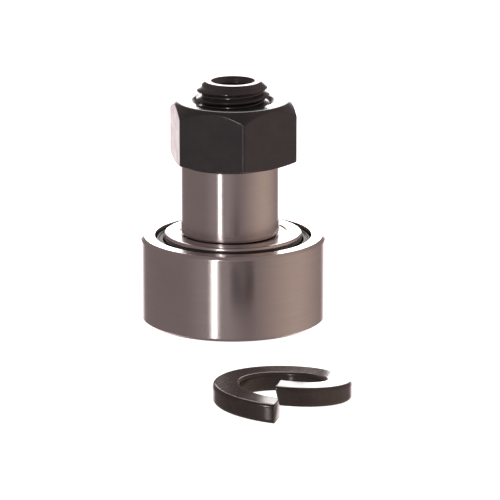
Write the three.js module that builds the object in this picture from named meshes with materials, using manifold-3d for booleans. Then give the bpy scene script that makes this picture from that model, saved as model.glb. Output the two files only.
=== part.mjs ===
// Stud-type cam follower with an eccentric collar, its hexagon nut and its spring lock washer.
// Millimetres, +Z up. The origin lies on the stud's axis in the outer face of the side plate, which is
// the face that the eccentric collar and the machine rest against. The head points down, the thread up.
import * as THREE from "three";
import { mergeVertices } from "three/addons/utils/BufferGeometryUtils.js";
import Module from "manifold-3d";

// ---- driving dimensions -----------------------------------------------------------------------------
const ROLLER_D = 30;
const ROLLER_WIDTH = 14;
const FLANGE_D = 22.4; // head and side plate
const BODY_LENGTH = 15; // from the head's face to the side plate's face
const STUD_LENGTH = 25; // beyond the side plate
const STUD_D = 12;
const THREAD_D = 12; // M12x1.5, drawn at its major diameter
const COLLAR_D = 16;
const COLLAR_LENGTH = 11.8;
const ECCENTRICITY = 0.5; // the collar's axis lies this far towards -X
const NUT_ACROSS_FLATS = 19;
const NUT_HEIGHT = 10;
const NUT_TURN = THREE.MathUtils.degToRad(9.6); // from a corner on -Y, towards +X
const NEEDLE_D = 2.5;
const NEEDLE_LENGTH = 5.8;
const NEEDLE_COUNT = 14;
const PITCH_RADIUS = 8.75; // of the needles' axes
const OIL_HOLE_D = 6;
const SOCKET_ACROSS_FLATS = 6;
const SOCKET_DEPTH = 5;
const WASHER_OUTER_D = 21.1;
const WASHER_INNER_D = 12.7;
const WASHER_THICKNESS = 3;
const WASHER_RISE = 2.9; // of one end over the other, free
const WASHER_CENTRE = new THREE.Vector2(7.6, -45.9); // where the loose washer lies

// ---- fits and small details -------------------------------------------------------------------------
const RUNNING_GAP = 0.1; // radial, needles to raceways, and between pieces that seat on each other
const SIDE_GAP = 0.2; // axial, between pieces that turn past each other
const EDGE_CHAMFER = 0.5;
const SMALL_CHAMFER = 0.3;
const FINE = 96; // segments round the roller
const MEDIUM = 64;
const HIDDEN = 40; // segments round a seal or a thrust washer
const COARSE = 16; // segments round a needle or a small hole

// ---- heights that follow from them ------------------------------------------------------------------
const HEAD_FACE = -BODY_LENGTH;
const ROLLER_TOP = -(BODY_LENGTH - ROLLER_WIDTH) / 2;
const ROLLER_BOTTOM = ROLLER_TOP - ROLLER_WIDTH;
const MIDDLE = HEAD_FACE / 2;
const FLANGE_THICKNESS = 2.6;
const THRUST_THICKNESS = 0.6;
const SHOULDER_DEPTH = 3.6; // from a flange's outer face to the roller's shoulder
const RELIEF_DEPTH = 0.2; // of the side plate's face under the collar
const STUD_END = STUD_LENGTH;

// ---- radii ------------------------------------------------------------------------------------------
const NEEDLE_R = NEEDLE_D / 2;
const INNER_RACE_R = PITCH_RADIUS - NEEDLE_R - RUNNING_GAP;
const OUTER_RACE_R = PITCH_RADIUS + NEEDLE_R + RUNNING_GAP;
const RECESS_R = 12.7;
const SPIGOT_R = 6.5; // the seat of the side plate on the stud
const RELIEF_R = 8.8;

const wasm = await Module();
wasm.setup();

// ---- geometry helpers -------------------------------------------------------------------------------

// A turned solid from [radius, height] points, listed with the material on the left of the path.
function turned(points, segments) {
  const profile = points.map(([r, z]) => new THREE.Vector2(r, z));
  return new THREE.LatheGeometry(profile, segments).rotateX(Math.PI / 2);
}

// A ring's closed profile is the same list with its first point repeated at the end.
function turnedRing(points, segments) {
  return turned([...points, points[0]], segments);
}

function plainRing(innerR, outerR, bottom, top, segments, chamfer = SMALL_CHAMFER) {
  const profile = [
    [innerR, bottom],
    [outerR - chamfer, bottom],
    [outerR, bottom + chamfer],
    [outerR, top - chamfer],
    [outerR - chamfer, top],
    [innerR, top],
  ];
  return turnedRing(profile, segments);
}

function cylinder(radius, bottom, top, segments) {
  const length = top - bottom;
  return new THREE.CylinderGeometry(radius, radius, length, segments)
    .rotateX(Math.PI / 2)
    .translate(0, 0, (top + bottom) / 2);
}

// A hexagonal prism with a corner on -Y.
function hexPrism(acrossFlats, bottom, top) {
  const cornerR = acrossFlats / Math.sqrt(3);
  const prism = new THREE.CylinderGeometry(cornerR, cornerR, top - bottom, 6);
  return prism.rotateX(Math.PI / 2).translate(0, 0, (top + bottom) / 2);
}

function toSolid(geometry) {
  const bare = geometry.clone();
  bare.deleteAttribute("normal");
  bare.deleteAttribute("uv");
  const merged = mergeVertices(bare, 1e-4);
  const mesh = new wasm.Mesh({
    numProp: 3,
    vertProperties: new Float32Array(merged.attributes.position.array),
    triVerts: new Uint32Array(merged.index.array),
  });
  return new wasm.Manifold(mesh);
}

function toGeometry(solid) {
  const mesh = solid.getMesh();
  const geometry = new THREE.BufferGeometry();
  geometry.setAttribute("position", new THREE.BufferAttribute(mesh.vertProperties, 3));
  geometry.setIndex(new THREE.BufferAttribute(mesh.triVerts, 1));
  geometry.computeVertexNormals();
  return geometry;
}

function cut(body, ...tools) {
  const left = tools.reduce((solid, tool) => solid.subtract(toSolid(tool)), toSolid(body));
  return toGeometry(left);
}

// ---- materials --------------------------------------------------------------------------------------

function finish(color, roughness, metalness) {
  return new THREE.MeshStandardMaterial({ color, roughness, metalness });
}

const groundSteel = () => finish(0x8f8580, 0.28, 1);
const blackOxide = () => finish(0x2b2726, 0.38, 0.7);
const springSteel = () => finish(0x3a2f2c, 0.45, 0.7);
const bearingSteel = () => finish(0xa9a7a4, 0.18, 1);
const rubber = () => finish(0x1c1b1b, 0.75, 0);
const resin = () => finish(0x3b3a36, 0.6, 0);

function piece(name, geometry, material) {
  const mesh = new THREE.Mesh(geometry, material);
  mesh.name = name;
  return mesh;
}

// ---- stud -------------------------------------------------------------------------------------------

// One forging: head, raceway, seat of the side plate, shank and threaded end. A lubrication hole runs
// down from the threaded end to a cross hole in the raceway, and the head has a hexagon socket.
function studGeometry() {
  const headR = FLANGE_D / 2;
  const shankR = STUD_D / 2;
  const threadR = THREAD_D / 2;
  const endFaceR = 4.5;
  const endChamfer = 1.3; // along the stud
  const mouthR = 3.55; // of the lathe centre's cone at the hole's mouth
  const mouthDepth = 0.95;
  const holeR = OIL_HOLE_D / 2;
  const passageR = 1.5;
  const holeFloor = STUD_END - 12;
  const passageFloor = MIDDLE - passageR;
  const drillTip = 0.5;
  const outline = [
    [0, HEAD_FACE],
    [headR - SMALL_CHAMFER, HEAD_FACE],
    [headR, HEAD_FACE + SMALL_CHAMFER],
    [headR, HEAD_FACE + FLANGE_THICKNESS],
    [INNER_RACE_R, HEAD_FACE + FLANGE_THICKNESS],
    [INNER_RACE_R, -FLANGE_THICKNESS],
    [SPIGOT_R, -FLANGE_THICKNESS],
    [SPIGOT_R, -RELIEF_DEPTH],
    [shankR, -RELIEF_DEPTH],
    [threadR, STUD_END - endChamfer],
    [endFaceR, STUD_END],
    [mouthR, STUD_END],
    [holeR, STUD_END - mouthDepth],
    [holeR, holeFloor + holeR - passageR],
    [passageR, holeFloor],
    [passageR, passageFloor],
    [0, passageFloor - drillTip],
  ];
  const socket = hexPrism(SOCKET_ACROSS_FLATS, HEAD_FACE - 1, HEAD_FACE + SOCKET_DEPTH);
  const crossHole = cylinder(1, 0, INNER_RACE_R + 1, COARSE)
    .rotateY(Math.PI / 2)
    .translate(0, 0, MIDDLE);
  return cut(turned(outline, MEDIUM), socket, crossHole);
}

// Its face is relieved a little under the collar, so the flat ring around the collar is all that a
// machine's face can touch.
function sidePlateGeometry() {
  const boreR = SPIGOT_R + RUNNING_GAP;
  const outerR = FLANGE_D / 2;
  const bottom = -FLANGE_THICKNESS + RUNNING_GAP;
  return turnedRing([
    [boreR, bottom],
    [outerR - SMALL_CHAMFER, bottom],
    [outerR, bottom + SMALL_CHAMFER],
    [outerR, -SMALL_CHAMFER],
    [outerR - SMALL_CHAMFER, 0],
    [RELIEF_R, 0],
    [RELIEF_R, -RELIEF_DEPTH],
    [boreR, -RELIEF_DEPTH],
  ], MEDIUM);
}

// The sleeve that sets the roller's position: its outside is offset from its bore.
function collarGeometry() {
  const bottom = RUNNING_GAP - RELIEF_DEPTH;
  const top = COLLAR_LENGTH - RUNNING_GAP;
  const radius = COLLAR_D / 2;
  const blank = turned([
    [0, bottom],
    [radius - SMALL_CHAMFER, bottom],
    [radius, bottom + SMALL_CHAMFER],
    [radius, top - SMALL_CHAMFER],
    [radius - SMALL_CHAMFER, top],
    [0, top],
  ], MEDIUM).translate(-ECCENTRICITY, 0, 0);
  return cut(blank, cylinder(STUD_D / 2 + RUNNING_GAP, bottom - 1, top + 1, MEDIUM));
}

// ---- roller -----------------------------------------------------------------------------------------

// Thick outer ring: cylindrical outside, raceway bore, and a recess at each end for flange and seal.
function outerRingGeometry() {
  const radius = ROLLER_D / 2;
  const upperShoulder = -SHOULDER_DEPTH;
  const lowerShoulder = HEAD_FACE + SHOULDER_DEPTH;
  return turnedRing([
    [RECESS_R, ROLLER_BOTTOM],
    [radius - EDGE_CHAMFER, ROLLER_BOTTOM],
    [radius, ROLLER_BOTTOM + EDGE_CHAMFER],
    [radius, ROLLER_TOP - EDGE_CHAMFER],
    [radius - EDGE_CHAMFER, ROLLER_TOP],
    [RECESS_R, ROLLER_TOP],
    [RECESS_R, upperShoulder],
    [OUTER_RACE_R, upperShoulder],
    [OUTER_RACE_R, lowerShoulder],
    [RECESS_R, lowerShoulder],
  ], FINE);
}

// The seal sits in the recess, and its lip reaches in towards the flange's rim.
function sealGeometry() {
  const outer = RECESS_R - SIDE_GAP;
  const wall = 0.6;
  const lip = FLANGE_D / 2 + SIDE_GAP;
  const top = ROLLER_TOP - 0.6;
  const lipRoot = top - 0.5;
  const lipTaper = lipRoot - 0.3;
  const bottom = -SHOULDER_DEPTH + SIDE_GAP;
  return turnedRing([
    [outer - wall, bottom],
    [outer, bottom],
    [outer, top],
    [lip, top],
    [lip, lipRoot],
    [outer - wall, lipTaper],
  ], HIDDEN);
}

function thrustWasherGeometry() {
  const innerR = INNER_RACE_R + SIDE_GAP;
  const outerR = FLANGE_D / 2 - SIDE_GAP;
  const bottom = -SHOULDER_DEPTH + SIDE_GAP;
  return plainRing(innerR, outerR, bottom, bottom + THRUST_THICKNESS, HIDDEN, 0.1);
}

function rollerGroup() {
  const roller = new THREE.Group();
  roller.add(piece("outer_ring", outerRingGeometry(), groundSteel()));
  const seals = [piece("upper_seal", sealGeometry(), rubber()), piece("lower_seal", sealGeometry(), rubber())];
  seals.forEach((seal) => roller.add(seal));
  turnOver(seals[1]);
  return roller;
}

// The two ends of the bearing are alike: a piece of the upper end, turned over about the middle plane.
function turnOver(mesh) {
  mesh.rotation.x = Math.PI;
  mesh.position.z = HEAD_FACE;
}

// ---- needles and cage -------------------------------------------------------------------------------

const needleAngle = (index) => (2 * Math.PI * (index + 0.5)) / NEEDLE_COUNT;

function cageGeometry() {
  const innerR = 7.9;
  const outerR = 9.5;
  const length = 7.6;
  const pocketLength = NEEDLE_LENGTH + 2 * SIDE_GAP;
  const pocketWidth = NEEDLE_D + 2 * SIDE_GAP;
  const ring = plainRing(innerR, outerR, MIDDLE - length / 2, MIDDLE + length / 2, 4 * NEEDLE_COUNT, 0.2);
  const pockets = Array.from({ length: NEEDLE_COUNT }, (_, index) =>
    new THREE.BoxGeometry(outerR, pocketWidth, pocketLength)
      .translate(PITCH_RADIUS, 0, MIDDLE)
      .rotateZ(needleAngle(index)));
  return cut(ring, ...pockets);
}

function needleGeometry() {
  const half = NEEDLE_LENGTH / 2;
  const rounding = 0.25;
  return turned([
    [0, -half],
    [NEEDLE_R - rounding, -half],
    [NEEDLE_R, -half + rounding],
    [NEEDLE_R, half - rounding],
    [NEEDLE_R - rounding, half],
    [0, half],
  ], COARSE);
}

function needleGroup() {
  const needles = new THREE.Group();
  needles.add(piece("needle_cage", cageGeometry(), resin()));
  for (let index = 0; index < NEEDLE_COUNT; index += 1) {
    const name = `needle_roller_${String(index + 1).padStart(2, "0")}`;
    const needle = piece(name, needleGeometry(), bearingSteel());
    const angle = needleAngle(index);
    needle.position.set(PITCH_RADIUS * Math.cos(angle), PITCH_RADIUS * Math.sin(angle), MIDDLE);
    needles.add(needle);
  }
  return needles;
}

// ---- nut --------------------------------------------------------------------------------------------

// The prism is trimmed by a turned blank, which leaves the curved chamfers at both faces. The upper
// one is the deeper.
function nutGeometry() {
  const faceR = 9;
  const upperDrop = 1.9; // how far down the chamfer reaches at a corner
  const lowerDrop = 0.65;
  const cornerR = NUT_ACROSS_FLATS / Math.sqrt(3);
  const blankR = cornerR + 0.5;
  const reach = (blankR - faceR) / (cornerR - faceR);
  const boreR = THREAD_D / 2 + RUNNING_GAP;
  const mouthR = 6.7;
  const blank = turned([
    [0, 0],
    [faceR, 0],
    [blankR, lowerDrop * reach],
    [blankR, NUT_HEIGHT - upperDrop * reach],
    [faceR, NUT_HEIGHT],
    [0, NUT_HEIGHT],
  ], MEDIUM);
  const prism = toSolid(hexPrism(NUT_ACROSS_FLATS, -1, NUT_HEIGHT + 1));
  const trimmed = toGeometry(prism.intersect(toSolid(blank)));
  const bore = turned([
    [0, -1],
    [mouthR + 1, -1],
    [boreR, mouthR - boreR],
    [boreR, NUT_HEIGHT - (mouthR - boreR)],
    [mouthR + 1, NUT_HEIGHT + 1],
    [0, NUT_HEIGHT + 1],
  ], MEDIUM);
  return cut(trimmed, bore);
}

function nutMesh() {
  const nut = piece("hex_nut", nutGeometry(), blackOxide());
  nut.position.z = COLLAR_LENGTH;
  nut.rotation.z = NUT_TURN;
  return nut;
}

// ---- spring lock washer -----------------------------------------------------------------------------

// Height of the washer's underside over the surface that it lies on, after turning by `angle` from its
// low end. The free washer is a helix, tilted until the low end and the point opposite both touch.
function restHeight(angle) {
  const turn = angle / (2 * Math.PI);
  return WASHER_RISE * (turn - 0.25 + Math.cos(angle) / 4 + Math.sin(angle) / (2 * Math.PI));
}

// A straight bar bent into one turn. Seen from above it runs clockwise from the low end, which faces
// the viewer on -Y. The two cuts are parallel and slanted, so that the ends bite.
function washerGeometry() {
  const steps = 72;
  const highEnd = 2 * Math.PI + 0.06; // where its upper outer edge ends, in radians from the low end
  const slantAcross = 0.07; // how far each cut leans across the bar's width
  const slantUp = 0.07; // and the upper one over the bar's height
  const splitAt = -Math.PI / 2 - 0.06;
  const innerR = WASHER_INNER_D / 2;
  const width = WASHER_OUTER_D / 2 - innerR;
  const bar = new THREE.BoxGeometry(1, 1, 1, 1, 1, steps).translate(0.5, 0.5, 0.5);
  const at = bar.attributes.position;
  for (let i = 0; i < at.count; i += 1) {
    const across = at.getX(i);
    const up = at.getY(i);
    const start = slantAcross * across;
    const end = highEnd - slantAcross * (1 - across) - slantUp * (1 - up);
    const angle = THREE.MathUtils.lerp(start, end, at.getZ(i));
    const radius = innerR + width * across;
    const heading = splitAt - angle;
    const height = restHeight(angle) + WASHER_THICKNESS * up;
    at.setXYZ(i, radius * Math.cos(heading), radius * Math.sin(heading), height);
  }
  return bar;
}

function washerMesh() {
  const washer = piece("spring_washer", washerGeometry(), springSteel());
  washer.position.set(WASHER_CENTRE.x, WASHER_CENTRE.y, HEAD_FACE);
  return washer;
}

// ---- assembly ---------------------------------------------------------------------------------------

function studGroup() {
  const fixed = new THREE.Group();
  fixed.add(piece("stud", studGeometry(), blackOxide()));
  fixed.add(piece("side_plate", sidePlateGeometry(), groundSteel()));
  fixed.add(piece("eccentric_collar", collarGeometry(), groundSteel()));
  fixed.add(piece("upper_thrust_washer", thrustWasherGeometry(), resin()));
  const lower = piece("lower_thrust_washer", thrustWasherGeometry(), resin());
  turnOver(lower);
  fixed.add(lower);
  return fixed;
}

const camFollower = new THREE.Group();
camFollower.add(studGroup(), rollerGroup(), needleGroup(), nutMesh(), washerMesh());

export default camFollower;
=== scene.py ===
"""Looks of the stud-type cam follower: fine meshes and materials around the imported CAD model."""
import math

import bmesh
import bpy
from mathutils import Matrix, Vector


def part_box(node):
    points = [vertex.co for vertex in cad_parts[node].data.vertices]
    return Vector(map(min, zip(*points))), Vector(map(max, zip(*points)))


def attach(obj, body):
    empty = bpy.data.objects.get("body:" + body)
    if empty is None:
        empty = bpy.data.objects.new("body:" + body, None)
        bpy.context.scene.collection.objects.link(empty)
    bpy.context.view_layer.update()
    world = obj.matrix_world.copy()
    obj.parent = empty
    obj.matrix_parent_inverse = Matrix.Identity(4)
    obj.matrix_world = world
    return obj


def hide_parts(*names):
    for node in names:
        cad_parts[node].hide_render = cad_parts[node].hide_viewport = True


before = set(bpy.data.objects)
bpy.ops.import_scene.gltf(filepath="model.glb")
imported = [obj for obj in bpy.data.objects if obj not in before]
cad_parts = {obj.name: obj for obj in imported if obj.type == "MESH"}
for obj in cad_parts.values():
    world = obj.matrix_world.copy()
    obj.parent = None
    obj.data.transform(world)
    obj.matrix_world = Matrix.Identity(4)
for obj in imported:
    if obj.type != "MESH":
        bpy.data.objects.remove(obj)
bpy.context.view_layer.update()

# ---- units and shared sizes, in metres ----------------------------------------------------------------
MM = 0.001
TURN = 2 * math.pi
WELD = 1e-7

# Places come from the CAD nodes.
RING_LOW, RING_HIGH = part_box("outer_ring")
PLATE_LOW, PLATE_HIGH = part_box("side_plate")
COLLAR_LOW, COLLAR_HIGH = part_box("eccentric_collar")
STUD_LOW, STUD_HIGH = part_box("stud")
NUT_LOW, NUT_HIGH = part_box("hex_nut")
SEAL_LOW, SEAL_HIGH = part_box("upper_seal")
THRUST_LOW, THRUST_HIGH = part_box("upper_thrust_washer")
CAGE_LOW, CAGE_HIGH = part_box("needle_cage")
WASHER_LOW, WASHER_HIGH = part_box("spring_washer")
WASHER_CENTRE = Vector((7.6, -45.9)) * MM
NEEDLES = sorted(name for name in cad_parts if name.startswith("needle_roller_"))

FLOOR_Z = STUD_LOW.z
MIDDLE_Z = (RING_LOW.z + RING_HIGH.z) / 2

# Thread, M12x1.5
PITCH = 1.5 * MM
CREST_R = 5.9 * MM
ROOT_R = 5.08 * MM
THREAD_CLEARANCE = 0.05 * MM
CREST_AT = 0.21  # in pitches: how far above the origin a crest crosses the +X side
SOCKET_FLATS = 6 * MM


# ---- mesh helpers -------------------------------------------------------------------------------------
def circle_angles(count):
    return [TURN * i / count for i in range(count)]


def cornered_angles(count, corner_at, crowding=0.86):
    """Angles round a hexagon, with one on each corner and more of them near the corners."""
    angles = []
    for i in range(count):
        turn = i / count
        drawn_in = crowding * math.sin(6 * TURN * turn) / (6 * TURN)
        angles.append((TURN * (turn - drawn_in) + corner_at) % TURN)
    return sorted(angles)


HOLD_SHARE = 0.15  # of an arc's reach: where a row beside the arc keeps the flat beyond it flat
MOST_REACH = 0.45  # of a side's length, for the arc at either end of it


def rounded(profile, rounding, steps=4, closed=True):
    """A profile of (r, z) corners with an arc of `rounding` at each corner that has room for one.
    A corner may carry its own rounding as a third number."""
    count = len(profile)
    out = []
    for i, corner in enumerate(profile):
        here = Vector(corner[:2])
        radius = corner[2] if len(corner) > 2 else rounding
        at_end = not closed and i in (0, count - 1)
        before = Vector(profile[i - 1][:2])
        after = Vector(profile[(i + 1) % count][:2])
        if at_end or radius <= 0:
            out.append((here.x, here.y))
            continue
        into = before - here
        away = after - here
        half = into.angle(away) / 2
        reach = min(radius / math.tan(half), MOST_REACH * into.length, MOST_REACH * away.length)
        radius = reach * math.tan(half)
        bisector = (into.normalized() + away.normalized()).normalized()
        centre = here + bisector * (radius / math.sin(half))
        first = here + into.normalized() * reach
        last = here + away.normalized() * reach
        hold = HOLD_SHARE * reach
        out.append(tuple(first + into.normalized() * hold))
        start = first - centre
        sweep = start.angle_signed(last - centre)
        for k in range(steps + 1):
            turned_by = Matrix.Rotation(-sweep * k / steps, 2)
            out.append(tuple(centre + turned_by @ start))
        out.append(tuple(last + away.normalized() * hold))
    return out


def finish_mesh(name, bm, sharp_angle=32):
    """Welds, turns the faces out, shades smooth up to the sharp angle in degrees, links the object."""
    bmesh.ops.remove_doubles(bm, verts=bm.verts, dist=WELD)
    bmesh.ops.dissolve_degenerate(bm, edges=bm.edges, dist=WELD)
    bmesh.ops.recalc_face_normals(bm, faces=bm.faces)
    for face in bm.faces:
        face.smooth = True
    for edge in bm.edges:
        if len(edge.link_faces) == 2:
            edge.smooth = edge.calc_face_angle(0) < math.radians(sharp_angle)
    mesh = bpy.data.meshes.new(name)
    bm.to_mesh(mesh)
    bm.free()
    obj = bpy.data.objects.new(name, mesh)
    bpy.context.scene.collection.objects.link(obj)
    return obj


def loft(bm, rows, closed_rows=False, closed_columns=True):
    """Quads between rows of points. Each row is a list of points, all of one length."""
    verts = [[bm.verts.new(p) for p in row] for row in rows]
    columns = len(rows[0])
    last_row = len(rows) if closed_rows else len(rows) - 1
    last_column = columns if closed_columns else columns - 1
    for i in range(last_row):
        upper = verts[(i + 1) % len(rows)]
        for j in range(last_column):
            k = (j + 1) % columns
            corners = [verts[i][j], verts[i][k], upper[k], upper[j]]
            bm.faces.new(corners)
    return verts


def circle_row(radius, z, angles, centre=(0.0, 0.0)):
    return [(centre[0] + radius * math.cos(a), centre[1] + radius * math.sin(a), z) for a in angles]


def turned_ring(name, profile, segments, rounding, steps=4):
    """A ring of revolution about Z from a closed (r, z) profile."""
    bm = bmesh.new()
    angles = circle_angles(segments)
    rows = [circle_row(r, z, angles) for r, z in rounded(profile, rounding, steps)]
    loft(bm, rows, closed_rows=True)
    return finish_mesh(name, bm)


def hexagon_radius(across_flats, angle, corner_at):
    """Distance from the centre to the hexagon's side in the direction of `angle`."""
    sixth = TURN / 6
    from_flat = (angle - corner_at) % sixth - sixth / 2
    return across_flats / 2 / math.cos(from_flat)


# ---- thread -------------------------------------------------------------------------------------------
STEPS_PER_PITCH = 16
THREAD_COLUMNS = 144


def thread_form(phase):
    """Height of the thread over its root, 0 to 1, at `phase` of one pitch: crest, flank, round root."""
    from_crest = abs((phase + 0.5) % 1.0 - 0.5)
    crest_half = 0.075
    root_from = 0.42
    flank_curve = 1.12
    slope = min(max((root_from - from_crest) / (root_from - crest_half), 0.0), 1.0)
    return 1 - (1 - slope) ** flank_curve


def helix_patch(bm, angles, low, high, radius_at):
    """A threaded tube between two heights, whose rows follow the helix. radius_at(z, phase) gives the
    radius. Rows past either end gather on its circle, and weld there."""
    turns = math.ceil((high - low) / PITCH) + 1
    rows = turns * STEPS_PER_PITCH
    columns = []
    for angle in angles:
        column = []
        for i in range(rows + STEPS_PER_PITCH + 1):
            step = i / STEPS_PER_PITCH - 1
            z = min(max(low + PITCH * (step + angle / TURN), low), high)
            phase = (z / PITCH - angle / TURN - CREST_AT) % 1.0
            radius = radius_at(z, phase)
            column.append(bm.verts.new((radius * math.cos(angle), radius * math.sin(angle), z)))
        columns.append(column)
    for j, column in enumerate(columns):
        beside = columns[(j + 1) % len(angles)]
        shift = STEPS_PER_PITCH if j == len(angles) - 1 else 0
        for i in range(rows):
            corners = [column[i], beside[i + shift], beside[i + 1 + shift], column[i + 1]]
            bm.faces.new(corners)


# ---- pieces -------------------------------------------------------------------------------------------
def make_stud():
    """Head with hexagon socket, raceway, seat, shank, thread and lubrication passage in one closed mesh."""
    bm = bmesh.new()
    angles = circle_angles(THREAD_COLUMNS)
    head_r = (STUD_HIGH.x - STUD_LOW.x) / 2
    head_thickness = 2.6 * MM
    head_top = STUD_LOW.z + head_thickness
    race_r = 7.4 * MM
    race_top = -head_thickness
    seat_r = 6.5 * MM
    seat_top = -0.2 * MM
    shank_r = 6.0 * MM
    thread_low = 10.2 * MM
    runout = 1.4 * MM
    end_z = STUD_HIGH.z
    end_r = 4.5 * MM
    end_slope = 1.15
    mouth_r = 3.55 * MM
    mouth_depth = 0.95 * MM
    hole_r = 3.0 * MM
    passage_r = 1.5 * MM
    hole_depth = 12 * MM
    hole_floor = end_z - hole_depth
    passage_floor = MIDDLE_Z - passage_r
    passage_tip = 0.5 * MM
    socket_mouth_r = 3.62 * MM
    lead_in = 0.55
    socket_depth = 5 * MM
    socket_floor = STUD_LOW.z + socket_depth
    drill_r = 2.5 * MM
    drill_tip = socket_floor + 0.9 * MM

    outside = rounded([
        (socket_mouth_r, STUD_LOW.z),
        (head_r, STUD_LOW.z, 0.45 * MM),
        (head_r, head_top, 0.2 * MM),
        (race_r, head_top, 0.25 * MM),
        (race_r, race_top, 0.2 * MM),
        (seat_r, race_top, 0.1 * MM),
        (seat_r, seat_top, 0.15 * MM),
        (shank_r, seat_top, 0.1 * MM),
        (shank_r, thread_low),
    ], 0, closed=False)
    loft(bm, [circle_row(r, z, angles) for r, z in outside])

    def stud_radius(z, phase):
        chamfer = end_r + (end_z - z) * end_slope
        grown = min(max((z - thread_low) / runout, 0.0), 1.0)
        full = ROOT_R + (CREST_R - ROOT_R) * thread_form(phase)
        return min(shank_r + (full - shank_r) * grown, chamfer)

    helix_patch(bm, angles, thread_low, end_z, stud_radius)

    inside = rounded([
        (end_r, end_z),
        (mouth_r, end_z, 0.06 * MM),
        (hole_r, end_z - mouth_depth, 0.15 * MM),
        (hole_r, hole_floor + hole_r - passage_r, 0.15 * MM),
        (passage_r, hole_floor, 0.15 * MM),
        (passage_r, passage_floor, 0.1 * MM),
        (0.0, passage_floor - passage_tip),
    ], 0, closed=False)
    loft(bm, [circle_row(r, z, angles) for r, z in inside])

    # The socket: a round lead-in that meets the flats in arcs, broached walls, and a drilled floor.
    def socket_row(depth_at):
        row = []
        for a in angles:
            r = hexagon_radius(SOCKET_FLATS, a, -TURN / 4)
            row.append((r * math.cos(a), r * math.sin(a), depth_at(r)))
        return row

    loft(bm, [
        circle_row(socket_mouth_r, STUD_LOW.z, angles),
        socket_row(lambda r: STUD_LOW.z + (socket_mouth_r - r) * lead_in),
        socket_row(lambda r: socket_floor),
        circle_row(drill_r, socket_floor, angles),
        circle_row(0.0, drill_tip, angles),
    ])
    stud = finish_mesh("stud_fine", bm)
    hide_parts("stud")
    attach(stud, "stud")
    return stud


def make_side_plate():
    """Flat ring, relieved a little under the collar."""
    outer = (PLATE_HIGH.x - PLATE_LOW.x) / 2
    bore = 6.6 * MM
    relief_r = 8.8 * MM
    relief_z = -0.2 * MM
    segments = 192
    plate = turned_ring("side_plate_fine", [
        (bore, PLATE_LOW.z, 0.1 * MM),
        (outer, PLATE_LOW.z, 0.2 * MM),
        (outer, PLATE_HIGH.z, 0.45 * MM),
        (relief_r, PLATE_HIGH.z, 0.06 * MM),
        (relief_r, relief_z, 0.04 * MM),
        (bore, relief_z, 0.1 * MM),
    ], segments, 0, steps=5)
    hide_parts("side_plate")
    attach(plate, "stud")
    return plate


def make_collar():
    """Ground sleeve whose outside is offset from its bore."""
    radius = (COLLAR_HIGH.x - COLLAR_LOW.x) / 2
    offset = (COLLAR_HIGH.x + COLLAR_LOW.x) / 2
    bore = 6.1 * MM
    segments = 192
    low, high = COLLAR_LOW.z, COLLAR_HIGH.z
    profile = rounded([
        (bore, low, 0.15 * MM),
        (radius, low, 0.35 * MM),
        (radius, high, 0.35 * MM),
        (bore, high, 0.15 * MM),
    ], 0, steps=5)
    angles = circle_angles(segments)
    halfway = (radius + bore) / 2
    bm = bmesh.new()
    rows = []
    for r, z in profile:
        shift = offset if r > halfway else 0.0
        rows.append(circle_row(r, z, angles, (shift, 0.0)))
    loft(bm, rows, closed_rows=True)
    collar = finish_mesh("eccentric_collar_fine", bm)
    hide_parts("eccentric_collar")
    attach(collar, "stud")
    return collar


def make_outer_ring():
    radius = (RING_HIGH.x - RING_LOW.x) / 2
    low, high = RING_LOW.z, RING_HIGH.z
    recess_r = 12.7 * MM
    race_r = 10.1 * MM
    shoulder = -3.6 * MM
    lower_shoulder = STUD_LOW.z - shoulder
    chamfer = 0.5 * MM
    segments = 256
    ring = turned_ring("outer_ring_fine", [
        (recess_r, low, 0.12 * MM),
        (radius - chamfer, low, 0.15 * MM),
        (radius, low + chamfer, 0.2 * MM),
        (radius, high - chamfer, 0.2 * MM),
        (radius - chamfer, high, 0.15 * MM),
        (recess_r, high, 0.12 * MM),
        (recess_r, shoulder, 0.15 * MM),
        (race_r, shoulder, 0.15 * MM),
        (race_r, lower_shoulder, 0.15 * MM),
        (recess_r, lower_shoulder, 0.15 * MM),
    ], segments, 0)
    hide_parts("outer_ring")
    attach(ring, "roller")
    return ring


def mirrored(profile):
    """The same profile at the other end of the bearing, kept in order round the section."""
    return [(p[0], STUD_LOW.z - p[1], *p[2:]) for p in reversed(profile)]


def make_seals():
    outer = (SEAL_HIGH.x - SEAL_LOW.x) / 2
    top, bottom = SEAL_HIGH.z, SEAL_LOW.z
    lip = 11.42 * MM
    wall = outer - 0.6 * MM
    segments = 160
    profile = [
        (wall, bottom, 0.12 * MM),
        (outer, bottom, 0.12 * MM),
        (outer, top, 0.2 * MM),
        (outer - 0.35 * MM, top, 0.1 * MM),
        (outer - 0.5 * MM, top - 0.18 * MM, 0.1 * MM),
        (lip, top - 0.06 * MM, 0.1 * MM),
        (lip, top - 0.42 * MM, 0.1 * MM),
        (wall, top - 0.75 * MM, 0.12 * MM),
    ]
    made = []
    for node, section in (("upper_seal", profile), ("lower_seal", mirrored(profile))):
        seal = turned_ring(node + "_fine", section, segments, 0, steps=3)
        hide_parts(node)
        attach(seal, "roller")
        made.append(seal)
    return made


def make_thrust_washers():
    outer = (THRUST_HIGH.x - THRUST_LOW.x) / 2
    inner = 7.6 * MM
    rounding = 0.12 * MM
    segments = 128
    low, high = THRUST_LOW.z, THRUST_HIGH.z
    profile = [(inner, low), (outer, low), (outer, high), (inner, high)]
    made = []
    for node, section in (("upper_thrust_washer", profile), ("lower_thrust_washer", mirrored(profile))):
        washer = turned_ring(node + "_fine", section, segments, rounding, steps=3)
        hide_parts(node)
        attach(washer, "stud")
        made.append(washer)
    return made


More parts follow.
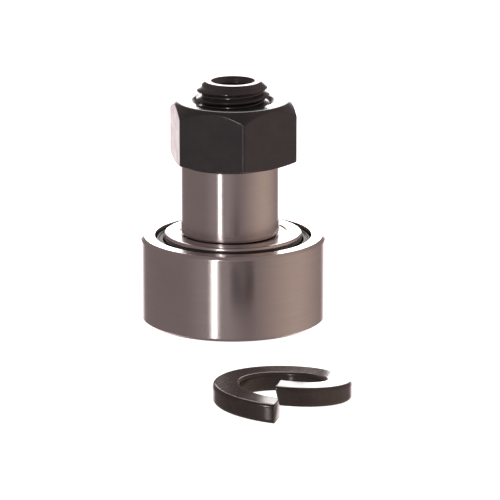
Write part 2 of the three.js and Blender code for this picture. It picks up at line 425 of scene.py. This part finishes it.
def make_needles():
    """Needle rollers with rounded ends, each on the body of its own that is named after it."""
    radius = 1.25 * MM
    end_round = 0.3 * MM
    angles = circle_angles(40)
    made = []
    for node in NEEDLES:
        low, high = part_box(node)
        centre = (low + high) / 2
        corners = [(0.0, low.z), (radius, low.z), (radius, high.z), (0.0, high.z)]
        profile = rounded(corners, end_round, steps=5, closed=False)
        bm = bmesh.new()
        loft(bm, [circle_row(r, z, angles, (centre.x, centre.y)) for r, z in profile])
        needle = finish_mesh(node + "_fine", bm)
        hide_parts(node)
        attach(needle, node.replace("_roller", ""))
        made.append(needle)
    return made


def make_nut():
    """Hexagon nut, chamfered and countersunk at both faces, its thread in mesh with the stud's."""
    low, high = NUT_LOW.z, NUT_HIGH.z
    flats = 19 * MM
    nut_turn = math.radians(9.6)
    corner_at = nut_turn - TURN / 4
    corner_r = flats / math.sqrt(3)
    corner_round = 0.5 * MM
    edge_round = 0.16 * MM
    rim_round = 0.24 * MM
    hold = 0.04 * MM
    face_r = 9 * MM
    upper_drop = 1.9 * MM
    lower_drop = 0.65 * MM
    upper_slope = upper_drop / (corner_r - face_r)
    lower_slope = lower_drop / (corner_r - face_r)
    mouth_r = 6.7 * MM
    sink_r = CREST_R + 0.25 * MM
    sink_slope = 0.9
    crest_flat = 0.12 * MM
    angles = cornered_angles(THREAD_COLUMNS, corner_at)
    sixth = TURN / 6
    round_centre = (flats / 2 - corner_round) / math.cos(sixth / 2)
    round_reach = math.atan2(corner_round / 2, round_centre + corner_round * math.cos(sixth / 2))

    def side_radius(angle):
        from_corner = abs((angle - corner_at + sixth / 2) % sixth - sixth / 2)
        if from_corner < round_reach:
            across = round_centre * math.sin(from_corner)
            return round_centre * math.cos(from_corner) + math.sqrt(corner_round ** 2 - across ** 2)
        return hexagon_radius(flats, angle, corner_at)

    def bent(points, steps=4):
        """Points along the curve that leaves the first of three points and meets the last, both tangent
        to the lines through the middle one."""
        curve = []
        for k in range(steps + 1):
            s = k / steps
            weights = ((1 - s) ** 2, 2 * s * (1 - s), s * s)
            curve.append(tuple(sum(w * p[i] for w, p in zip(weights, points)) for i in (0, 1)))
        return curve

    def end_rows(end, inwards, slope):
        """Rows from the face's edge down the conical chamfer and round its edge onto the flats."""
        lean = math.hypot(1, slope)
        rim = ((face_r - rim_round, 0.0), (face_r, 0.0), (face_r + rim_round, rim_round * slope))
        columns = []
        for a in angles:
            r = side_radius(a)
            drop = (r - face_r) * slope
            start = (r - edge_round / lean, drop - edge_round * slope / lean)
            path = [(face_r - rim_round - hold, 0.0)]
            path += bent(rim)
            path.append((face_r + rim_round + hold, (rim_round + hold) * slope))
            path.append((start[0] - hold, start[1] - hold * slope))
            path += bent((start, (r, drop), (r, drop + edge_round)))
            path.append((r, drop + edge_round + hold))
            x, y = math.cos(a), math.sin(a)
            columns.append([(radius * x, radius * y, end + inwards * depth) for radius, depth in path])
        return list(zip(*columns))

    low_thread = low + (mouth_r - sink_r) * sink_slope
    high_thread = high - (mouth_r - sink_r) * sink_slope

    def nut_radius(z, phase):
        own = ROOT_R + max((CREST_R - ROOT_R) * thread_form(phase), crest_flat) + THREAD_CLEARANCE
        from_end = min(z - low_thread, high_thread - z)
        return max(own, sink_r - from_end / sink_slope)

    bm = bmesh.new()
    loft(bm, [
        circle_row(sink_r, high_thread, angles),
        circle_row(mouth_r - hold, high - hold, angles),
        circle_row(mouth_r + hold, high, angles),
        *end_rows(high, -1, upper_slope),
        *reversed(end_rows(low, 1, lower_slope)),
        circle_row(mouth_r + hold, low, angles),
        circle_row(mouth_r - hold, low + hold, angles),
        circle_row(sink_r, low_thread, angles),
    ])
    helix_patch(bm, angles, low_thread, high_thread, nut_radius)
    nut = finish_mesh("hex_nut_fine", bm)
    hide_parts("hex_nut")
    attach(nut, "nut")
    return nut


# ---- spring washer ------------------------------------------------------------------------------------
def make_spring_washer():
    """Bar of rounded section, coiled through one turn, its two ends cut at a slant."""
    rise = 2.9 * MM
    thickness = 3 * MM
    outer = 10.55 * MM
    inner = 6.35 * MM
    end_overlap = 0.06
    split_at = -TURN / 4 - end_overlap
    high_end = TURN + end_overlap
    slant_across = 0.07
    slant_up = 0.07
    corner = 0.6 * MM
    edge_break = 0.1 * MM
    steps = 200
    width = outer - inner
    bar = [(0.0, 0.0), (width, 0.0), (width, thickness), (0.0, thickness)]
    section = rounded(bar, corner, steps=5)

    def rest_height(angle):
        """How far the bar's underside has risen: level at the back, steepest towards the high end."""
        turn = angle / TURN
        return rise * (turn - 0.25 + math.cos(angle) / 4 + math.sin(angle) / TURN)

    def bar_point(across, up, along, inset):
        start = slant_across * across / width
        end = high_end - slant_across * (1 - across / width) - slant_up * (1 - up / thickness)
        angle = start + (end - start) * along + inset / outer
        radius = inner + across
        heading = split_at - angle
        height = FLOOR_Z + rest_height(angle) + up
        return (WASHER_CENTRE.x + radius * math.cos(heading),
                WASHER_CENTRE.y + radius * math.sin(heading), height)

    def section_row(along, inset=0.0, shrink=0.0):
        row = []
        for across, up in section:
            across = width / 2 + (across - width / 2) * (1 - 2 * shrink / width)
            up = thickness / 2 + (up - thickness / 2) * (1 - 2 * shrink / thickness)
            row.append(bar_point(across, up, along, inset))
        return row

    # Each end's edge is broken by a quarter arc: (inset, shrink) from the cut face to the bar.
    arc_steps = 3
    quarter = [TURN / 4 * (1 - k / arc_steps) for k in range(arc_steps + 1)]
    arc = [(edge_break * (1 - math.sin(q)), edge_break * (1 - math.cos(q))) for q in quarter]
    rows = [section_row(0.0, inset, shrink) for inset, shrink in arc]
    rows += [section_row(k / steps) for k in range(1, steps)]
    rows += [section_row(1.0, -inset, shrink) for inset, shrink in reversed(arc)]
    bm = bmesh.new()
    verts = loft(bm, rows)
    bm.faces.new(list(reversed(verts[0])))
    bm.faces.new(verts[-1])
    washer = finish_mesh("spring_washer_fine", bm)
    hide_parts("spring_washer")
    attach(washer, "washer")
    return washer


# ---- cage ---------------------------------------------------------------------------------------------
def runs_along(edge, direction):
    """Whether a straight edge lies within some 25 degrees of a direction."""
    return abs((edge.verts[0].co - edge.verts[1].co).normalized().dot(direction)) > 0.9


def make_cage():
    """Cage with one rounded pocket for each needle."""
    inner, outer = 7.9 * MM, 9.5 * MM
    rounding = 0.2 * MM
    segments = 168
    pocket = Vector((4, 2.9, 6.2)) * MM
    pocket_round = 0.3 * MM
    low, high = CAGE_LOW.z, CAGE_HIGH.z
    section = [(inner, low), (outer, low), (outer, high), (inner, high)]
    cage = turned_ring("needle_cage_fine", section, segments, rounding, steps=3)
    cutter_mesh = bmesh.new()
    for node in NEEDLES:
        a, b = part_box(node)
        at = (a + b) / 2
        heading = Matrix.Rotation(math.atan2(at.y, at.x), 4, "Z")
        place = Matrix.Translation(at) @ heading @ Matrix.Diagonal((*pocket, 1.0))
        made = bmesh.ops.create_cube(cutter_mesh, size=1.0, matrix=place)
        outwards = Vector((at.x, at.y, 0)).normalized()
        edges = dict.fromkeys(e for v in made["verts"] for e in v.link_edges)
        along = [e for e in edges if runs_along(e, outwards)]
        bmesh.ops.bevel(cutter_mesh, geom=along, offset=pocket_round, segments=3, affect="EDGES")
    cutter = finish_mesh("pocket_cutter", cutter_mesh)
    cut = cage.modifiers.new("pockets", "BOOLEAN")
    cut.object = cutter
    cut.operation = "DIFFERENCE"
    cut.solver = "EXACT"
    depsgraph = bpy.context.evaluated_depsgraph_get()
    result = bpy.data.meshes.new_from_object(cage.evaluated_get(depsgraph))
    cage.modifiers.clear()
    cage.data = result
    bpy.data.objects.remove(cutter)
    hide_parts("needle_cage")
    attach(cage, "cage")
    return cage


# ---- materials ----------------------------------------------------------------------------------------
class Nodes:
    """Short forms for building one node tree."""

    def __init__(self, tree):
        self.tree = tree

    def add(self, kind, **settings):
        node = self.tree.nodes.new(kind)
        for key, value in settings.items():
            setattr(node, key, value)
        return node

    def link(self, source, target):
        self.tree.links.new(source, target)

    def fill(self, node, *values):
        """Sets or links a node's inputs in order, past those given as None."""
        for socket, value in zip(node.inputs, values):
            if isinstance(value, bpy.types.NodeSocket):
                self.link(value, socket)
            elif value is not None:
                socket.default_value = value
        return node.outputs[0]

    def math(self, operation, *values):
        return self.fill(self.add("ShaderNodeMath", operation=operation), *values)

    def fade(self, value, low, high):
        """0 at low, 1 at high and smooth between them, whichever of the two is greater."""
        node = self.add("ShaderNodeMapRange", interpolation_type="SMOOTHSTEP")
        return self.fill(node, value, low, high)


class Finish(Nodes):
    """A material on the Principled shader."""

    def __init__(self, name, metallic, roughness):
        self.material = bpy.data.materials.new(name)
        self.material.use_nodes = True
        super().__init__(self.material.node_tree)
        self.shader = self.tree.nodes["Principled BSDF"]
        self.place = self.add("ShaderNodeTexCoord")
        self.shader.inputs["Metallic"].default_value = metallic
        self.shader.inputs["Roughness"].default_value = roughness

    def noise(self, vector, scale, detail=3.0, roughness=0.55):
        node = self.add("ShaderNodeTexNoise")
        node.inputs["Scale"].default_value = scale
        node.inputs["Detail"].default_value = detail
        node.inputs["Roughness"].default_value = roughness
        self.link(vector, node.inputs["Vector"])
        return node.outputs["Fac"]

    def mixture(self, *shares):
        """The sum of (value, share) pairs."""
        total = 0.0
        for value, share in shares:
            total = self.math("ADD", total, self.math("MULTIPLY", value, share))
        return total

    def colour(self, value, dark, light, low=0.32, high=0.68):
        node = self.add("ShaderNodeValToRGB")
        for element, place, shade in zip(node.color_ramp.elements, (low, high), (dark, light)):
            element.position = place
            element.color = (*shade, 1.0)
        self.link(value, node.inputs["Fac"])
        self.link(node.outputs["Color"], self.shader.inputs["Base Color"])

    def roughen(self, value, low, high):
        node = self.add("ShaderNodeMapRange")
        self.link(self.fill(node, value, 0.25, 0.75, low, high), self.shader.inputs["Roughness"])

    def bump(self, height, distance):
        node = self.add("ShaderNodeBump")
        node.inputs["Distance"].default_value = distance
        self.link(height, node.inputs["Height"])
        self.link(node.outputs["Normal"], self.shader.inputs["Normal"])

    def turning_marks(self, centre=(0.0, 0.0), around=120.0, across=9000.0):
        """Coordinates for tool marks, which run round the axis on walls and in rings on end faces.
        They vary `around` the axis and `across` the marks so many times in a metre."""
        shift = self.add("ShaderNodeVectorMath", operation="SUBTRACT")
        split = self.add("ShaderNodeSeparateXYZ")
        self.link(self.fill(shift, self.place.outputs["Object"], (*centre, 0.0)), split.inputs[0])
        x, y, z = split.outputs
        squares = self.math("ADD", self.math("MULTIPLY", x, x), self.math("MULTIPLY", y, y))
        radius = self.math("SQRT", squares)
        facing = self.add("ShaderNodeSeparateXYZ")
        self.link(self.place.outputs["Normal"], facing.inputs[0])
        level = self.fade(self.math("ABSOLUTE", facing.outputs[2]), 0.6, 0.8)
        wall = self.math("MULTIPLY", z, self.math("SUBTRACT", 1.0, level))
        marks = self.math("ADD", wall, self.math("MULTIPLY", radius, level))
        join = self.add("ShaderNodeCombineXYZ")
        return self.fill(join, self.math("MULTIPLY", x, around), self.math("MULTIPLY", y, around),
                         self.math("MULTIPLY", marks, across))


def ground_steel(name, dark, light, roughness):
    """Ground bearing steel, with fine marks round the axis and faint stains."""
    finish = Finish(name, 1.0, roughness)
    marks = finish.noise(finish.turning_marks(), scale=1.0, detail=2.0)
    stains = finish.noise(finish.place.outputs["Object"], scale=160.0, detail=4.0)
    blend = finish.mixture((marks, 0.55), (stains, 0.45))
    finish.colour(blend, dark, light)
    finish.roughen(blend, roughness - 0.03, roughness + 0.03)
    finish.bump(marks, 0.0003 * MM)
    finish.shader.inputs["Anisotropic"].default_value = 0.6
    finish.shader.inputs["Anisotropic Rotation"].default_value = 0.25
    tangent = finish.add("ShaderNodeTangent", direction_type="RADIAL", axis="Z")
    finish.link(tangent.outputs[0], finish.shader.inputs["Tangent"])
    return finish.material


def black_oxide(name, dark, light, roughness, marks_share, centre=(0.0, 0.0)):
    """Oiled black oxide on steel: nearly black, mottled, over the marks of the tool."""
    finish = Finish(name, 0.3, roughness)
    marks = finish.noise(finish.turning_marks(centre, around=200.0, across=5000.0), scale=1.0, detail=2.0)
    mottle = finish.noise(finish.place.outputs["Object"], scale=420.0, detail=5.0, roughness=0.6)
    blend = finish.mixture((marks, marks_share), (mottle, 1 - marks_share))
    finish.colour(blend, dark, light)
    finish.roughen(blend, roughness - 0.05, roughness + 0.07)
    finish.bump(blend, 0.0025 * MM)
    return finish.material


def moulded(name, dark, light, roughness, grain):
    """Moulded rubber or resin with a fine matt grain."""
    finish = Finish(name, 0.0, roughness)
    speck = finish.noise(finish.place.outputs["Object"], scale=grain)
    finish.colour(speck, dark, light, low=0.3, high=0.8)
    finish.roughen(speck, roughness - 0.06, roughness + 0.06)
    finish.bump(speck, 0.006 * MM)
    return finish.material


def lapped_steel():
    """Bright rolling surface with only a faint cloudiness."""
    finish = Finish("needle_steel", 1.0, 0.12)
    cloud = finish.noise(finish.place.outputs["Object"], scale=900.0)
    finish.colour(cloud, (0.5, 0.5, 0.5), (0.62, 0.62, 0.61))
    finish.roughen(cloud, 0.1, 0.15)
    finish.bump(cloud, 0.0004 * MM)
    return finish.material


def paint(material, *pieces):
    for piece in pieces:
        piece.data.materials.clear()
        piece.data.materials.append(material)


# ---- studio -------------------------------------------------------------------------------------------
AIM = Vector((2.741, -2.028, -2.64)) * MM  # the point in the middle of the picture
CAMERA_DISTANCE = 0.5555
CAMERA_PITCH = math.radians(14.86)
LENS = 246.6  # millimetres, as is the sensor's width
SENSOR = 36.0


def make_camera():
    data = bpy.data.cameras.new("camera")
    data.sensor_width = SENSOR
    data.lens = LENS
    data.clip_start = 0.01
    data.clip_end = 20.0
    camera = bpy.data.objects.new("camera", data)
    bpy.context.scene.collection.objects.link(camera)
    back = Vector((0.0, -math.cos(CAMERA_PITCH), math.sin(CAMERA_PITCH)))
    camera.location = AIM + back * CAMERA_DISTANCE
    camera.rotation_euler = (-back).to_track_quat("-Z", "Y").to_euler()
    bpy.context.scene.camera = camera


def make_floor():
    """White paper, which can be looked through from below."""
    half = 2.5
    bm = bmesh.new()
    for x, y in ((-half, -half), (half, -half), (half, half), (-half, half)):
        bm.verts.new((x, y, FLOOR_Z))
    bm.faces.new(bm.verts)
    mesh = bpy.data.meshes.new("floor")
    bm.to_mesh(mesh)
    bm.free()
    floor = bpy.data.objects.new("floor", mesh)
    bpy.context.scene.collection.objects.link(floor)
    paper = Finish("floor_paper", 0.0, 0.9)
    fibre = paper.noise(paper.place.outputs["Object"], scale=900.0)
    paper.colour(fibre, (0.88, 0.88, 0.88), (0.92, 0.92, 0.92))
    paper.shader.inputs["Specular IOR Level"].default_value = 0.1
    paper.shader.inputs["Emission Color"].default_value = (1.0, 1.0, 1.0, 1.0)
    paper.shader.inputs["Emission Strength"].default_value = 1.0
    side = paper.add("ShaderNodeNewGeometry")
    clear = paper.add("ShaderNodeBsdfTransparent")
    mix = paper.add("ShaderNodeMixShader")
    paper.fill(mix, side.outputs["Backfacing"], paper.shader.outputs[0], clear.outputs[0])
    paper.link(mix.outputs[0], paper.tree.nodes["Material Output"].inputs["Surface"])
    paint(paper.material, floor)
    floor.visible_glossy = False


# What the metal mirrors, in degrees: azimuth 0 is on the viewer's side and 90 on the right. Each soft
# source has an azimuth and an elevation, each with the half-widths inside which it is full and outside
# which it is gone, and then its strength and its colour.
ROOM_STRENGTH = 0.3
ROOM_COLOUR = (1.0, 0.82, 0.82)
STRIP_AZIMUTH = -23.2
STRIP_DISTANCE = 1.2
SOFT_SOURCES = [
    ((180, 9, 20), (30, 32, 42), 5.0, (1.0, 0.96, 0.96)),  # the bright backdrop
    ((180, 18, 35), (-26, 20, 30), 2.1, (1.0, 0.86, 0.88)),  # and the table under it
    ((87, 0, 75), (0, 35, 80), 0.4, (1.0, 0.78, 0.6)),  # a warm wall on the right
    ((-20, 10, 45), (-10, 30, 60), 0.12, (1.0, 0.96, 0.96)),  # the glow round the strip light
]


def make_world():
    """White for the camera, and a dim room with soft sources in it for light and reflections."""
    world = bpy.data.worlds.new("studio")
    bpy.context.scene.world = world
    world.use_nodes = True
    nodes = Nodes(world.node_tree)
    nodes.tree.nodes.clear()

    def background(colour, strength):
        return nodes.fill(nodes.add("ShaderNodeBackground"), (*colour, 1.0), strength)

    coordinates = nodes.add("ShaderNodeTexCoord")
    split = nodes.add("ShaderNodeSeparateXYZ")
    nodes.link(coordinates.outputs["Generated"], split.inputs[0])
    x, y, z = split.outputs
    heading = nodes.math("ARCTAN2", x, nodes.math("MULTIPLY", y, -1.0))
    elevation = nodes.math("ARCSINE", z)
    room = background(ROOM_COLOUR, ROOM_STRENGTH)

    def within(angle, middle, full, gone):
        turned = nodes.math("SUBTRACT", angle, math.radians(middle))
        beside = nodes.math("ABSOLUTE", nodes.math("WRAP", turned, math.pi, -math.pi))
        return nodes.fade(beside, math.radians(gone), math.radians(full))

    for azimuths, elevations, strength, colour in SOFT_SOURCES:
        share = nodes.math("MULTIPLY", within(heading, *azimuths), within(elevation, *elevations))
        level = nodes.math("MULTIPLY", share, strength)
        room = nodes.fill(nodes.add("ShaderNodeAddShader"), room, background(colour, level))
    path = nodes.add("ShaderNodeLightPath")
    mix = nodes.add("ShaderNodeMixShader")
    nodes.fill(mix, path.outputs["Is Camera Ray"], room, background((1.0, 1.0, 1.0), 1.0))
    output = nodes.add("ShaderNodeOutputWorld")
    nodes.link(mix.outputs[0], output.inputs["Surface"])


def area_light(name, azimuth, elevation, distance, size, power):
    """A rectangular light that faces the part, with azimuths as for the soft sources."""
    data = bpy.data.lights.new(name, "AREA")
    data.shape = "RECTANGLE"
    data.size, data.size_y = size
    data.energy = power
    light = bpy.data.objects.new(name, data)
    bpy.context.scene.collection.objects.link(light)
    a, e = math.radians(azimuth), math.radians(elevation)
    direction = Vector((math.sin(a) * math.cos(e), -math.cos(a) * math.cos(e), math.sin(e)))
    light.location = AIM + direction * distance
    light.rotation_euler = (-direction).to_track_quat("-Z", "Y").to_euler()
    light.visible_camera = False


def make_lights():
    """A low strip, whose reflection is the bright line down each cylinder, and a short one above it,
    which glints on the thread and the edges."""
    area_light("low_strip", STRIP_AZIMUTH, -11, STRIP_DISTANCE, (0.115, 0.5), 1.0)
    area_light("high_strip", STRIP_AZIMUTH, 32, STRIP_DISTANCE, (0.12, 0.25), 4)


# ---- everything ---------------------------------------------------------------------------------------
make_camera()
make_world()
make_floor()
make_lights()
bpy.context.scene.view_settings.view_transform = "Standard"

stud = make_stud()
side_plate = make_side_plate()
collar = make_collar()
outer_ring = make_outer_ring()
seals = make_seals()
thrust_washers = make_thrust_washers()
needles = make_needles()
nut = make_nut()
washer = make_spring_washer()
cage = make_cage()

stud_black = black_oxide(
    "stud_black", dark=(0.026, 0.021, 0.021), light=(0.042, 0.035, 0.035),
    roughness=0.18, marks_share=0.5)
nut_black = black_oxide(
    "nut_black", dark=(0.022, 0.0185, 0.020), light=(0.029, 0.0245, 0.0255),
    roughness=0.22, marks_share=0.2)
washer_black = black_oxide(
    "washer_black", dark=(0.024, 0.0175, 0.015), light=(0.040, 0.0295, 0.026),
    roughness=0.17, marks_share=0.2, centre=WASHER_CENTRE)
bearing_steel = ground_steel(
    "ground_steel", dark=(0.48, 0.435, 0.425), light=(0.53, 0.485, 0.475), roughness=0.22)
collar_steel = ground_steel(
    "collar_steel", dark=(0.49, 0.445, 0.435), light=(0.53, 0.485, 0.475), roughness=0.2)
seal_rubber = moulded(
    "seal_rubber", dark=(0.012, 0.012, 0.012), light=(0.03, 0.03, 0.03), roughness=0.55, grain=2500.0)
cage_resin = moulded(
    "cage_resin", dark=(0.05, 0.048, 0.042), light=(0.09, 0.086, 0.075), roughness=0.5, grain=1500.0)

paint(stud_black, stud)
paint(nut_black, nut)
paint(washer_black, washer)
paint(bearing_steel, outer_ring, side_plate)
paint(collar_steel, collar)
paint(seal_rubber, *seals)
paint(cage_resin, cage, *thrust_washers)
paint(lapped_steel(), *needles)
